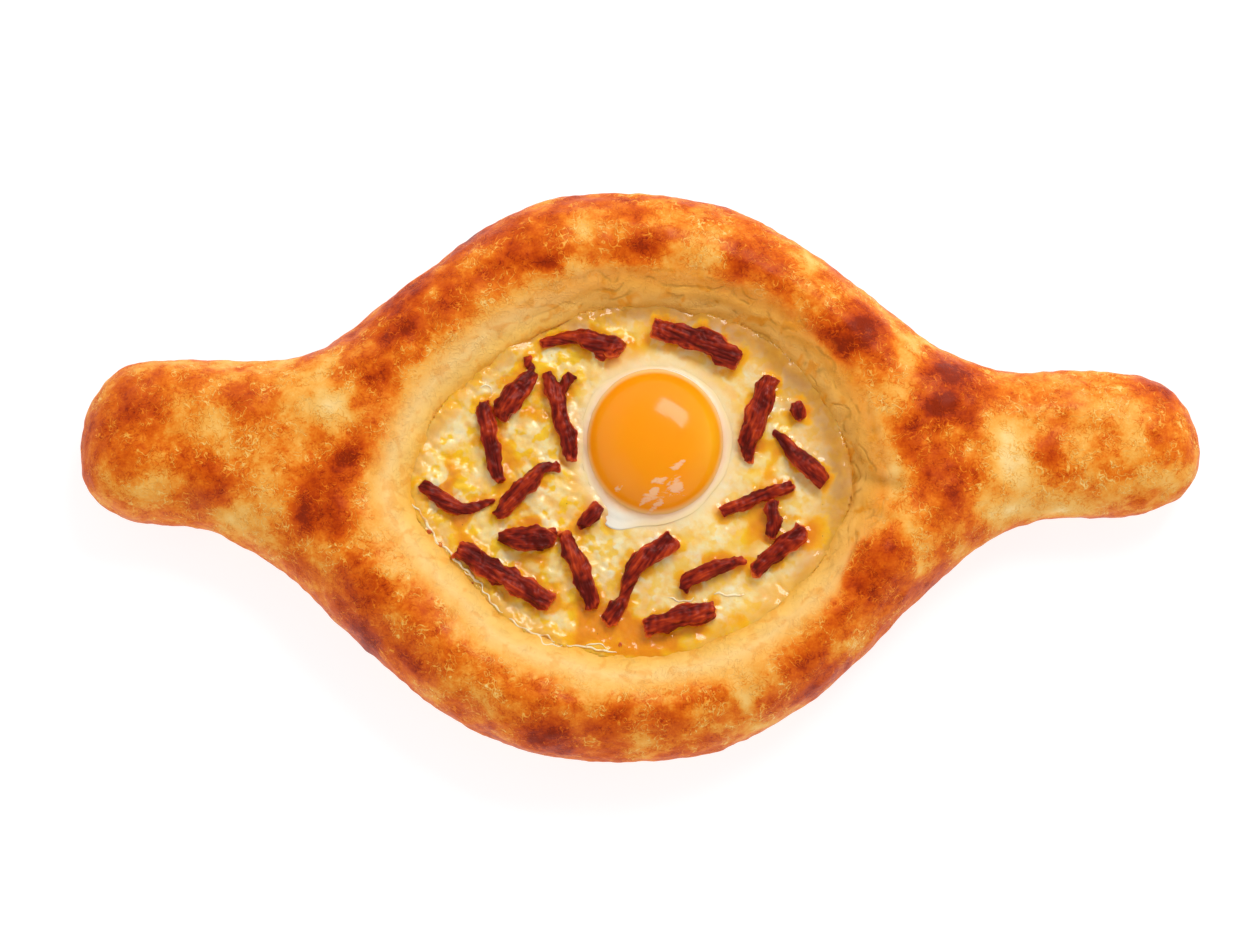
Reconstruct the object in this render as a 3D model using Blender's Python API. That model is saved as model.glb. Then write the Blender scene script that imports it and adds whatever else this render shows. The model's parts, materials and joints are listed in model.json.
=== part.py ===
"""Boat-shaped khachapuri: a rolled boat of baked dough with a drawn-out handle at each end, a cheese
filling, a soft egg yolk in its ring of egg white, and strips of cured beef lying on the cheese.

The loaf lies along X and rests flat on z = 0, with its origin in the middle of its footprint.
Lengths below are in millimetres, and MM turns them into metres as the meshes are made.
"""

import math
import random

import bmesh
import bpy
import numpy as np

MM = 0.001

# The loaf seen from above: a handle's edge at each end, left and right, swelling out to the boat.
HANDLE_ROOTS = (-128.0, 129.0)
BOAT_MIDDLE = -5.0
BOAT_HALF_WIDTH = 77.6
FAR_HANDLE_EDGES = (31.5, 28.0)
NEAR_HANDLE_EDGES = (-14.0, -12.0)
# How long the boat's shoulders are, left and right of its middle, and how rounded they are.
FAR_SHOULDERS = (98.0, 108.0)
NEAR_SHOULDERS = (124.0, 120.0)
SHOULDER_ROUNDNESS = 2.6
LOAF_HALF_LENGTH = 151.0
LEFT_END_BLUNTNESS = 2.4
RIGHT_END_BLUNTNESS = 2.1
TIP_DROP = 2.0

# The opening in the crust, where the filling meets the dough.
OPENING = (
    (-61.2, -6.4), (-57.9, -13.9), (-51.2, -22.9), (-42.9, -31.4), (-32.9, -41.2), (-18.9, -46.9),
    (-0.4, -49.9), (21.6, -44.9), (37.6, -34.4), (49.6, -20.4), (55.1, -4.4), (51.6, 11.6), (44.6, 23.6),
    (33.6, 34.1), (19.6, 40.6), (1.6, 43.4), (-16.4, 41.1), (-33.4, 33.6), (-48.4, 21.1), (-57.9, 6.6),
)

# Heights of the loaf's section.
RIM_HEIGHT = 31.0
HANDLE_HEIGHT = 27.0
HANDLE_FROM, HANDLE_TO = 62.0, 112.0
BULGE_HEIGHT = 11.0
OUTER_ROUND = 17.0
INNER_SLOPE = 19.0
FOOT_ROUND = 8.0
FILLING_LEVEL = 19.0
FILLING_FLOOR = 7.5
RIM_SWELL = 0.9

# The fold where the two sides of the boat are pinched together, right of the opening.
PINCH_FROM, PINCH_TO = (52.6, -4.0), (72.6, -8.4)
PINCH_DEPTH = 2.8
PINCH_WIDTH = 4.5

# The egg.
YOLK_CENTRE = (3.8, 7.0)
YOLK_RADII = (18.2, 19.4)
YOLK_RISE = 9.5
YOLK_SINK = 3.6
WHITE_RISE = 1.3
YOLK_SIDES = 28
WHITE_SIDES = 44

GAP = 0.35

RIB_STEP = 5.4
END_RIBS = 11
RIM_REACH = 36.0
RIM_RINGS = 9
OPENING_SIDES = 60

# Strips of cured beef, and one crumb of it: points along each, as x, y and the width there.
BEEF_STRIPS = {
    "beef_01": ((-26.9, 34.0, 2.4), (-22.2, 35.3, 3.1), (-17.5, 35.9, 3.4), (-13.9, 35.3, 6.4),
                (-10.4, 33.6, 5.4), (-7.1, 33.4, 6.9), (-5.3, 31.9, 4.2)),
    "beef_02": ((-28.7, 26.5, 3.1), (-31.1, 23.1, 5.7), (-33.7, 19.3, 6.6), (-36.3, 15.5, 6.2),
                (-37.7, 13.3, 3.7)),
    "beef_03": ((-42.5, 18.1, 3.1), (-41.7, 14.9, 4.6), (-40.9, 9.1, 4.7), (-39.9, 3.5, 4.6),
                (-38.6, -1.2, 4.0), (-37.0, -4.0, 2.4)),
    "beef_04": ((-25.0, 26.3, 2.6), (-23.1, 21.3, 4.4), (-21.7, 15.0, 4.8), (-19.9, 8.5, 4.7),
                (-18.7, 3.5, 4.0), (-18.2, 1.7, 2.6)),
    "beef_05": ((-58.7, -4.1, 2.9), (-56.4, -6.0, 4.1), (-52.4, -9.0, 4.3), (-47.9, -11.2, 3.9),
                (-44.7, -10.8, 2.4), (-41.5, -9.5, 2.4), (-38.8, -9.2, 1.5)),
    "beef_06": ((-21.7, 0.1, 2.4), (-25.9, 0.1, 3.3), (-29.2, -3.3, 5.1), (-33.0, -7.2, 5.2),
                (-35.9, -10.5, 4.4), (-38.8, -13.0, 2.9)),
    "beef_07": ((-38.1, -18.1, 2.6), (-34.9, -18.7, 4.8), (-30.1, -18.9, 6.6), (-25.9, -19.0, 6.4),
                (-23.1, -19.9, 3.5)),
    "beef_08": ((-10.9, -10.2, 3.7), (-12.9, -13.0, 4.7), (-15.7, -15.1, 3.5), (-16.9, -15.8, 2.2)),
    "beef_09": ((-20.1, -17.3, 3.3), (-18.6, -21.9, 5.1), (-16.2, -27.1, 5.2), (-14.1, -32.7, 5.3),
                (-12.6, -37.9, 3.7)),
    "beef_10": ((-48.5, -21.8, 5.3), (-42.1, -25.6, 5.9), (-34.8, -30.0, 6.1), (-28.7, -33.7, 5.9),
                (-23.9, -36.6, 5.3)),
    "beef_11": ((8.4, -18.7, 5.1), (4.9, -21.5, 5.5), (0.3, -25.1, 5.5), (-3.0, -29.6, 4.7),
                (-4.4, -34.4, 2.6), (-5.6, -36.8, 4.7), (-7.4, -39.8, 4.8), (-9.1, -41.6, 4.2)),
    "beef_12": ((10.8, -32.9, 3.2), (13.8, -29.6, 4.2), (18.1, -27.8, 4.7), (22.6, -26.7, 4.2),
                (25.5, -25.0, 2.5), (27.8, -25.3, 1.4)),
    "beef_13": ((1.0, -42.9, 4.8), (5.0, -41.7, 5.6), (9.8, -40.1, 5.9), (15.2, -38.9, 5.9),
                (19.6, -38.3, 5.2)),
    "beef_14": ((29.7, -28.0, 3.9), (32.9, -25.5, 4.6), (35.8, -22.6, 5.2), (40.3, -19.6, 5.2),
                (43.2, -16.1, 3.8)),
    "beef_15": ((34.9, -8.8, 3.3), (35.3, -11.8, 4.4), (35.2, -14.7, 4.5), (34.5, -17.2, 3.9),
                (34.0, -18.6, 3.0)),
    "beef_16": ((21.4, -12.2, 3.1), (28.9, -8.6, 3.5), (34.9, -6.4, 3.4), (40.8, -5.3, 3.2)),
    "beef_17": ((35.3, 10.3, 2.0), (38.3, 6.8, 3.3), (41.9, 2.5, 5.2), (45.9, -1.3, 5.4), (49.1, -3.9, 4.6)),
    "beef_18": ((34.8, 24.5, 4.8), (32.8, 18.6, 6.4), (30.4, 12.5, 6.4), (29.1, 7.3, 5.3), (28.5, 1.7, 2.4)),
    "beef_19": ((3.4, 38.3, 5.2), (9.9, 36.9, 5.7), (15.8, 34.9, 6.8), (21.6, 31.7, 6.6), (26.1, 28.7, 5.7)),
    "beef_20": ((41.4, 17.8, 2.6), (42.0, 15.6, 4.3), (42.9, 13.2, 2.8)),
}
# Side knobs and forks of some strips: the strip, then two points with the width at each.
BEEF_KNOBS = (
    ("beef_01", (-14.5, 33.9, 3.5), (-15.1, 36.7, 3.3)),
    ("beef_01", (-9.5, 32.5, 3.7), (-11.1, 29.7, 2.9)),
    ("beef_02", (-29.4, 26.4, 2.4), (-30.4, 30.8, 2.3)),
    ("beef_04", (-22.1, 20.5, 3.3), (-18.7, 25.7, 3.3)),
    ("beef_07", (-25.5, -18.7, 3.3), (-22.4, -16.7, 2.0)),
    ("beef_14", (33.6, -24.0, 3.4), (30.8, -24.2, 2.0)),
)
BEEF_FLATNESS = 0.68
BEEF_SIDES = 8
BEEF_RING_STEP = 2.6
BEEF_ROUGHNESS = 0.13

CRUST = ("crust", (0.72, 0.36, 0.12), 0.55)
CHEESE = ("cheese", (0.93, 0.76, 0.36), 0.35)
WHITE = ("egg_white", (0.95, 0.90, 0.78), 0.25)
YOLK = ("yolk", (1.0, 0.42, 0.02), 0.2)
BEEF = ("beef", (0.26, 0.04, 0.03), 0.4)


def clear_scene():
    """Starts from a scene without objects."""
    for item in list(bpy.data.objects):
        bpy.data.objects.remove(item, do_unlink=True)


def collection(name):
    made = bpy.data.collections.new(name)
    bpy.context.scene.collection.children.link(made)
    return made


def material(finish):
    """A Principled material from a name, a colour and a roughness."""
    name, colour, roughness = finish
    made = bpy.data.materials.get(name) or bpy.data.materials.new(name)
    made.use_nodes = True
    shader = made.node_tree.nodes["Principled BSDF"]
    shader.inputs["Base Color"].default_value = (*colour, 1.0)
    shader.inputs["Roughness"].default_value = roughness
    shader.inputs["Metallic"].default_value = 0.0
    made.diffuse_color = (*colour, 1.0)
    return made


def place(mesh_data, name, group, finish):
    """Puts a bmesh made in millimetres into the scene as one object in metres."""
    bmesh.ops.recalc_face_normals(mesh_data, faces=mesh_data.faces)
    bmesh.ops.scale(mesh_data, vec=(MM, MM, MM), verts=mesh_data.verts)
    mesh = bpy.data.meshes.new(name)
    mesh_data.to_mesh(mesh)
    mesh_data.free()
    mesh.shade_smooth()
    mesh.set_sharp_from_angle(angle=math.radians(40))
    mesh.materials.append(material(finish))
    made = bpy.data.objects.new(name, mesh)
    group.objects.link(made)
    return made


def combine(target, other, operation):
    """Cuts another object out of target, or joins it to it, and hides that other object."""
    other.hide_render = True
    other.display_type = "WIRE"
    step = target.modifiers.new(operation.lower(), "BOOLEAN")
    step.operation = operation
    step.solver = "EXACT"
    step.object = other


def spline(points, count, closed):
    """count points on a Catmull-Rom curve through points of any dimension, evenly spaced along it."""
    control = np.array(points, float)
    if closed:
        control = np.vstack([control[-1], control, control[:2]])
    else:
        control = np.vstack([2 * control[0] - control[1], control, 2 * control[-1] - control[-2]])
    t = np.linspace(0, 1, 24, endpoint=False)[:, None]
    fine = [
        0.5 * (2 * b + (c - a) * t + (2 * a - 5 * b + 4 * c - d) * t**2 + (3 * b - 3 * c + d - a) * t**3)
        for a, b, c, d in zip(control[:-3], control[1:-2], control[2:-1], control[3:])
    ]
    fine = np.vstack([*fine, control[-2]])
    run = np.concatenate([[0], np.cumsum(np.linalg.norm(np.diff(fine[:, :2], axis=0), axis=1))])
    wanted = np.linspace(0, run[-1], count, endpoint=not closed)
    return np.stack([np.interp(wanted, run, fine[:, k]) for k in range(fine.shape[1])], axis=1)


def loaf_edge(xs, reach, handles, shoulders):
    """How far out one long edge of the loaf lies: along the handles, and out to reach at the boat's middle."""
    handle = np.interp(xs, HANDLE_ROOTS, handles)
    length = np.where(xs < BOAT_MIDDLE, *shoulders)
    fallen = (np.abs(xs - BOAT_MIDDLE) / length) ** SHOULDER_ROUNDNESS
    return handle + (reach - handle) * np.clip(1 - fallen, 0, 1) ** SHOULDER_ROUNDNESS


def far_edge(xs):
    return loaf_edge(xs, BOAT_HALF_WIDTH, FAR_HANDLE_EDGES, FAR_SHOULDERS)


def near_edge(xs):
    return loaf_edge(xs, -BOAT_HALF_WIDTH, NEAR_HANDLE_EDGES, NEAR_SHOULDERS)


def end_cap(side, bluntness, count):
    """The rounded end of a handle, as points round from one long edge to the other, and its centre."""
    root = HANDLE_ROOTS[0] if side < 0 else HANDLE_ROOTS[1]
    far, near = far_edge(root), near_edge(root)
    centre = np.array([root, (far + near) / 2])
    reach = np.array([LOAF_HALF_LENGTH - abs(root), (far - near) / 2])
    angles = np.linspace(0, math.pi, count + 2)[1:-1]
    across = np.cos(angles)
    along = np.sin(angles)
    points = [
        centre
        + reach * (side * s ** (2 / bluntness), math.copysign(abs(c) ** (2 / bluntness), c))
        - (0, TIP_DROP * s**3)
        for c, s in zip(across, along)
    ]
    return points, centre


def ribs(step, end_ribs):
    """Pairs of a point on the loaf's outline and its foot on the centre line, round the loaf."""
    left, right = HANDLE_ROOTS
    xs = np.linspace(left, right, round((right - left) / step) + 1)
    far, near = far_edge(xs), near_edge(xs)
    spine = np.stack([xs, (far + near) / 2], axis=1)
    right, right_centre = end_cap(1, RIGHT_END_BLUNTNESS, end_ribs)
    left, left_centre = end_cap(-1, LEFT_END_BLUNTNESS, end_ribs)
    around = [(np.array([x, y]), foot) for x, y, foot in zip(xs, far, spine)]
    around += [(point, right_centre) for point in right]
    around += [(np.array([x, y]), foot) for x, y, foot in zip(xs[::-1], near[::-1], spine[::-1])]
    around += [(point, left_centre) for point in reversed(left)]
    return around


def distance(points, loop):
    """How far each point lies from a closed line."""
    a = loop[None, :, :]
    along = np.roll(loop, -1, axis=0)[None, :, :] - a
    t = np.clip(((points[:, None] - a) * along).sum(2) / (along**2).sum(2), 0, 1)
    return np.linalg.norm(points[:, None] - a - along * t[..., None], axis=2).min(1)


def inside(points, loop):
    """True for the points within a closed line."""
    x, y = points[:, 0, None], points[:, 1, None]
    ax, ay = loop.T
    bx, by = np.roll(loop, -1, axis=0).T
    crossing = (ay > y) != (by > y)
    with np.errstate(divide="ignore", invalid="ignore"):
        at = ax + (y - ay) * (bx - ax) / (by - ay)
    return (crossing & (x < at)).sum(1) % 2 == 1


OUTLINE = np.array([point for point, _ in ribs(1.5, 24)])
OPENING_LINE = spline(OPENING, 240, closed=True)


def ease(value, low, high):
    """0 below low, 1 above high, and smooth between."""
    t = np.clip((value - low) / (high - low), 0, 1)
    return t * t * (3 - 2 * t)


def crest_height(points):
    """The height of the crust's top: the rim stands above the handles, and both swell a little."""
    x, y = points.T
    height = RIM_HEIGHT + (HANDLE_HEIGHT - RIM_HEIGHT) * ease(np.abs(x), HANDLE_FROM, HANDLE_TO)
    return height + RIM_SWELL * (np.sin(x / 23 + 0.6) * np.cos(y / 31) + 0.6 * np.sin(x / 11 - y / 17))


def pinch(points):
    """How deep the pinched fold lies: most at the opening, and fading along its line."""
    start, along = np.array(PINCH_FROM), np.subtract(PINCH_TO, PINCH_FROM)
    t = np.clip((points - start) @ along / (along @ along), 0, 1)
    aside = np.linalg.norm(points - start - t[:, None] * along, axis=1)
    return PINCH_DEPTH * (1 - 0.7 * t) * np.exp(-((aside / PINCH_WIDTH) ** 2))


def crust_top(points):
    """The height of the loaf's upper surface: round outside, and sloping in to the filling."""
    from_edge = np.clip(distance(points, OUTLINE) / OUTER_ROUND, 0, 1)
    to_opening = distance(points, OPENING_LINE) * np.where(inside(points, OPENING_LINE), -1, 1)
    crest = crest_height(points)
    rise = (crest - BULGE_HEIGHT) * np.sqrt(1 - (1 - from_edge) ** 2)
    dip = (crest - FILLING_LEVEL) * (1 - np.clip(to_opening / INNER_SLOPE, 0, 1)) ** 2.1
    return BULGE_HEIGHT + rise - dip - pinch(points) - 0.8 * np.clip(-to_opening, 0, 6)


def filling_top(points):
    """The height of the molten cheese, which lies in soft waves."""
    x, y = points.T
    calm = ease(np.hypot(x - YOLK_CENTRE[0], y - YOLK_CENTRE[1]), YOLK_RADII[1], YOLK_RADII[1] + 10)
    return FILLING_LEVEL + 0.35 * calm * (np.sin(x / 6.5) * np.cos(y / 7.5) + 0.5 * np.sin(x / 4 + y / 5))


def bridge(mesh_data, rings, closed=True):
    """Quads between neighbouring rings of vertices."""
    for low, high in zip(rings, rings[1:]):
        count = len(low)
        for i in range(count if closed else count - 1):
            corners = (low[i], low[(i + 1) % count], high[(i + 1) % count], high[i])
            unique = list(dict.fromkeys(corners))
            if len(unique) > 2:
                mesh_data.faces.new(unique)


def loaf(group):
    """The dough, lofted along ribs that run in from the outline, before the filling's hollow is cut."""
    mesh_data = bmesh.new()
    around = ribs(RIB_STEP, END_RIBS)
    edges = np.array([edge for edge, _ in around])
    feet = np.array([foot for _, foot in around])
    width = np.linalg.norm(feet - edges, axis=1)[:, None]
    reach = np.minimum(0.82 * width, RIM_REACH)
    inward = (feet - edges) / width

    def ring(points, heights):
        return [mesh_data.verts.new((x, y, z)) for (x, y), z in zip(points, heights)]

    rings = []
    for share in (1.0, 0.42, 0.1):
        points = edges + inward * FOOT_ROUND * share
        height = BULGE_HEIGHT * (1 - math.sqrt(1 - (1 - share) ** 2))
        rings.append(ring(points, np.full(len(points), height)))
    mesh_data.faces.new(rings[0])
    for step in range(RIM_RINGS + 1):
        points = edges + inward * reach * (1 - math.cos(step / RIM_RINGS * math.pi / 2))
        rings.append(ring(points, crust_top(points)))
    half_way = edges + inward * (reach + width) / 2
    rings.append(ring(half_way, crust_top(half_way)))
    rings.append(ring(feet, crust_top(feet)))
    bridge(mesh_data, rings)
    bmesh.ops.remove_doubles(mesh_data, verts=mesh_data.verts, dist=0.01)
    return place(mesh_data, "bread", group, CRUST)


def opening_ring(inset, count=OPENING_SIDES):
    """The opening's outline, moved inwards."""
    line = spline(OPENING, count, closed=True)
    along = np.roll(line, -1, axis=0) - np.roll(line, 1, axis=0)
    inwards = np.stack([-along[:, 1], along[:, 0]], axis=1)
    return line + inset * inwards / np.linalg.norm(inwards, axis=1)[:, None]


def filling_bowl(name, group, inset, lid):
    """The filling's bowl-shaped solid, set in by inset. lid raises its top above the cheese, for a cutter."""
    mesh_data = bmesh.new()

    def ring(points, heights):
        heights = np.broadcast_to(heights, len(points))
        return [mesh_data.verts.new((x, y, z)) for (x, y), z in zip(points, heights)]

    floor = FILLING_FLOOR + inset
    depth = FILLING_LEVEL - floor
    rings = [
        ring(opening_ring(inset + 11), floor),
        ring(opening_ring(inset + 7), floor + 0.12 * depth),
        ring(opening_ring(inset + 3), floor + 0.48 * depth),
    ]
    top = opening_ring(inset)
    if lid:
        rings.append(ring(top, FILLING_LEVEL))
        rings.append(ring(top, FILLING_LEVEL + lid))
        mesh_data.faces.new(rings[-1])
    else:
        centre = top.mean(axis=0)
        for share in (1, 0.93, 0.8, 0.65, 0.49, 0.33, 0.16):
            points = centre + (top - centre) * share
            rings.append(ring(points, filling_top(points)))
        hub = mesh_data.verts.new((*centre, filling_top(centre[None])[0]))
        inner = rings[-1]
        for i in range(len(inner)):
            mesh_data.faces.new((inner[i], inner[(i + 1) % len(inner)], hub))
    mesh_data.faces.new(rings[0])
    bridge(mesh_data, rings)
    return place(mesh_data, name, group, CHEESE)


def yolk(name, group, swell):
    """The yolk: a dome above the cheese and a shallow bowl below it, grown by swell."""
    mesh_data = bmesh.new()
    bmesh.ops.create_uvsphere(mesh_data, u_segments=YOLK_SIDES, v_segments=YOLK_SIDES // 2 - 2, radius=1)
    for vertex in mesh_data.verts:
        x, y, z = vertex.co
        tall = (YOLK_RISE if z > 0 else YOLK_SINK) + swell
        vertex.co = (
            YOLK_CENTRE[0] + x * (YOLK_RADII[0] + swell),
            YOLK_CENTRE[1] + y * (YOLK_RADII[1] + swell),
            FILLING_LEVEL + 0.4 + math.copysign(abs(z) ** 0.9, z) * tall,
        )
    return place(mesh_data, name, group, YOLK)


def egg_white(group):
    """The set white, a thin uneven collar lying on the cheese round the yolk."""
    mesh_data = bmesh.new()
    angles = np.arange(WHITE_SIDES) * 2 * math.pi / WHITE_SIDES
    away = np.stack([np.cos(angles), np.sin(angles)], axis=1)
    lobe = 0.6 * np.sin(3 * angles + 0.4) + 0.4 * np.sin(5 * angles + 2.0)
    spread = 2.6 + lobe + 2.6 * np.exp(-(((angles - math.radians(250)) / 0.24) ** 2))
    inner = np.array(YOLK_CENTRE) + away * (np.array(YOLK_RADII) + 2 * GAP)
    rings = []
    for share, rise in ((0, 0), (0, WHITE_RISE), (0.45, 0.75 * WHITE_RISE), (1, 0.35), (1, 0)):
        points = inner + away * (spread * share)[:, None]
        heights = filling_top(points) + GAP + rise
        rings.append([mesh_data.verts.new((x, y, z)) for (x, y), z in zip(points, heights)])
    bridge(mesh_data, [*rings, rings[0]])
    return place(mesh_data, "egg_white", group, WHITE)


def strip(name, group, route, dice):
    """A strip of beef that lies along route and follows the cheese, or the crust's slope, beneath it."""
    length = sum(math.dist(a[:2], b[:2]) for a, b in zip(route, route[1:]))
    count = max(4, round(length / BEEF_RING_STEP) + 1)
    line = spline(route, count, closed=False)
    middle, widths = line[:, :2], line[:, 2]
    along = np.gradient(middle, axis=0)
    side = np.stack([-along[:, 1], along[:, 0]], axis=1) / np.linalg.norm(along, axis=1)[:, None]
    mesh_data = bmesh.new()
    rings = []
    for i in range(count):
        turn = dice.uniform(0, 2 * math.pi)
        lean = dice.uniform(-0.12, 0.12) * widths[i]
        ring = []
        for k in range(BEEF_SIDES):
            angle = 2 * math.pi * k / BEEF_SIDES
            rough = 1 + BEEF_ROUGHNESS * math.sin(3 * angle + turn) + dice.uniform(-0.5, 0.5) * BEEF_ROUGHNESS
            across = math.cos(angle) * widths[i] / 2 * rough + lean
            lift = (1 + math.sin(angle) * rough) * widths[i] * BEEF_FLATNESS / 2
            point = (middle[i] + side[i] * across)[None]
            under = max(filling_top(point)[0], crust_top(point)[0]) + GAP
            ring.append(mesh_data.verts.new((*point[0], under + max(lift, 0))))
        rings.append(ring)
    bridge(mesh_data, rings)
    for end in (rings[0], rings[-1]):
        mesh_data.faces.new(end)
    return place(mesh_data, name, group, BEEF)


def beef(group, cutters):
    """Every strip, with its side knobs joined to it."""
    dice = random.Random(7)
    strips = {name: strip(name, group, route, dice) for name, route in BEEF_STRIPS.items()}
    for number, (name, start, end) in enumerate(BEEF_KNOBS, 1):
        route = (start, tuple((a + b) / 2 for a, b in zip(start, end)), end)
        combine(strips[name], strip(f"knob_{number}", cutters, route, dice), "UNION")


def khachapuri():
    clear_scene()
    group = collection("khachapuri")
    cutters = collection("cutters")
    bread = loaf(group)
    combine(bread, filling_bowl("hollow", cutters, 0.0, lid=14.0), "DIFFERENCE")
    filling = filling_bowl("cheese_filling", group, GAP, lid=0.0)
    combine(filling, yolk("yolk_pit", cutters, GAP), "DIFFERENCE")
    yolk("egg_yolk", group, 0.0)
    egg_white(group)
    beef(group, cutters)


khachapuri()
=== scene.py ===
"""The looks of a boat-shaped khachapuri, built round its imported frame.

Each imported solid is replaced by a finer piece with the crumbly, glossy or fibrous surface of the real
food. Shapes are worked out in millimetres, and MM turns them into metres. The loaf lies along X.
"""

import json
import math

import bmesh
import bpy
import numpy as np
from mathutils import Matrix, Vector, kdtree

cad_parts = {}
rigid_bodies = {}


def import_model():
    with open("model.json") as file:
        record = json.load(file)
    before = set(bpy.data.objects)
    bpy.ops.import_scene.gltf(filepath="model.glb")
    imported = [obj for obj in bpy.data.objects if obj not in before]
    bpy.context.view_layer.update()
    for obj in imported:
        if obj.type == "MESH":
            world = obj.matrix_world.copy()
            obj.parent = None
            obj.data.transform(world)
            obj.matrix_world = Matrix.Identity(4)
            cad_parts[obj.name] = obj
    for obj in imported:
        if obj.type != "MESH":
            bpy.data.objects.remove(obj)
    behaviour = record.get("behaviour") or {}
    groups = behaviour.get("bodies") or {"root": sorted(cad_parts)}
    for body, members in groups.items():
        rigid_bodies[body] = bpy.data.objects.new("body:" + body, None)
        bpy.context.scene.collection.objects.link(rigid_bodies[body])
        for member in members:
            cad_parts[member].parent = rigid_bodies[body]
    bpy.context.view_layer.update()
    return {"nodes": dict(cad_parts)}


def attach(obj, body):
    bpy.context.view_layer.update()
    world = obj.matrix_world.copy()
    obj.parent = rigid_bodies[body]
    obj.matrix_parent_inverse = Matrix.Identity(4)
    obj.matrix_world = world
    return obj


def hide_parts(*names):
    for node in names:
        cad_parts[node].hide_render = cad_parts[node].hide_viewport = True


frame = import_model()

MM = 0.001
UP = np.array([0.0, 0.0, 1.0])

# The opening in the crust, where the cheese meets the dough.
OPENING = (
    (-61.2, -6.4), (-57.9, -13.9), (-51.2, -22.9), (-42.9, -31.4), (-32.9, -41.2), (-18.9, -46.9),
    (-0.4, -49.9), (21.6, -44.9), (37.6, -34.4), (49.6, -20.4), (55.1, -4.4), (51.6, 11.6), (44.6, 23.6),
    (33.6, 34.1), (19.6, 40.6), (1.6, 43.4), (-16.4, 41.1), (-33.4, 33.6), (-48.4, 21.1), (-57.9, 6.6),
)
FILLING_LEVEL = 19.0
FILLING_FLOOR = 9.0
YOLK_CENTRE = np.array([3.8, 7.0])
YOLK_RADII = np.array([18.2, 19.4])
YOLK_RISE = 9.6

# Where the crust has browned or blistered: x, y, radius, and how much darker it is.
BLISTERS = (
    (-115, -5, 8, 0.45), (-105, 15, 6, 0.30), (-145, 5, 14, 0.30), (-85, -10, 8, 0.25), (-65, 45, 10, 0.30),
    (-30, 65, 9, 0.20), (-25, 55, 5, 0.35), (0, 55, 5, 0.35), (25, 50, 7, 0.35), (55, 35, 8, 0.25),
    (80, 15, 7, 0.40), (110, 20, 8, 0.20), (145, 10, 12, 0.30), (60, -25, 9, 0.60), (45, -55, 9, 0.20),
    (-5, -70, 9, 0.15), (-25, -65, 9, 0.20), (-75, -35, 9, 0.25), (-70, 5, 8, 0.20),
)
# Where the crust has stayed pale: x, y, radius, and how much lighter it is.
PALE_PATCHES = ((95, 0, 12, 0.25), (-90, -5, 9, 0.15), (-15, -60, 9, 0.15), (35, 60, 8, 0.20))
# Small blisters dotted over the rest of the crust: how many, and the least and most of each one's values.
SMALL_BLISTERS = 110
SMALL_BLISTER_RADII = (3, 8)
SMALL_BLISTER_BROWNING = (0.06, 0.28)
CRUST_REACH = (148, 76)
CRUST_SKIN = 0.95
CHEESE_GRID = 0.5
BEEF_SKIN = 0.33


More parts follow.
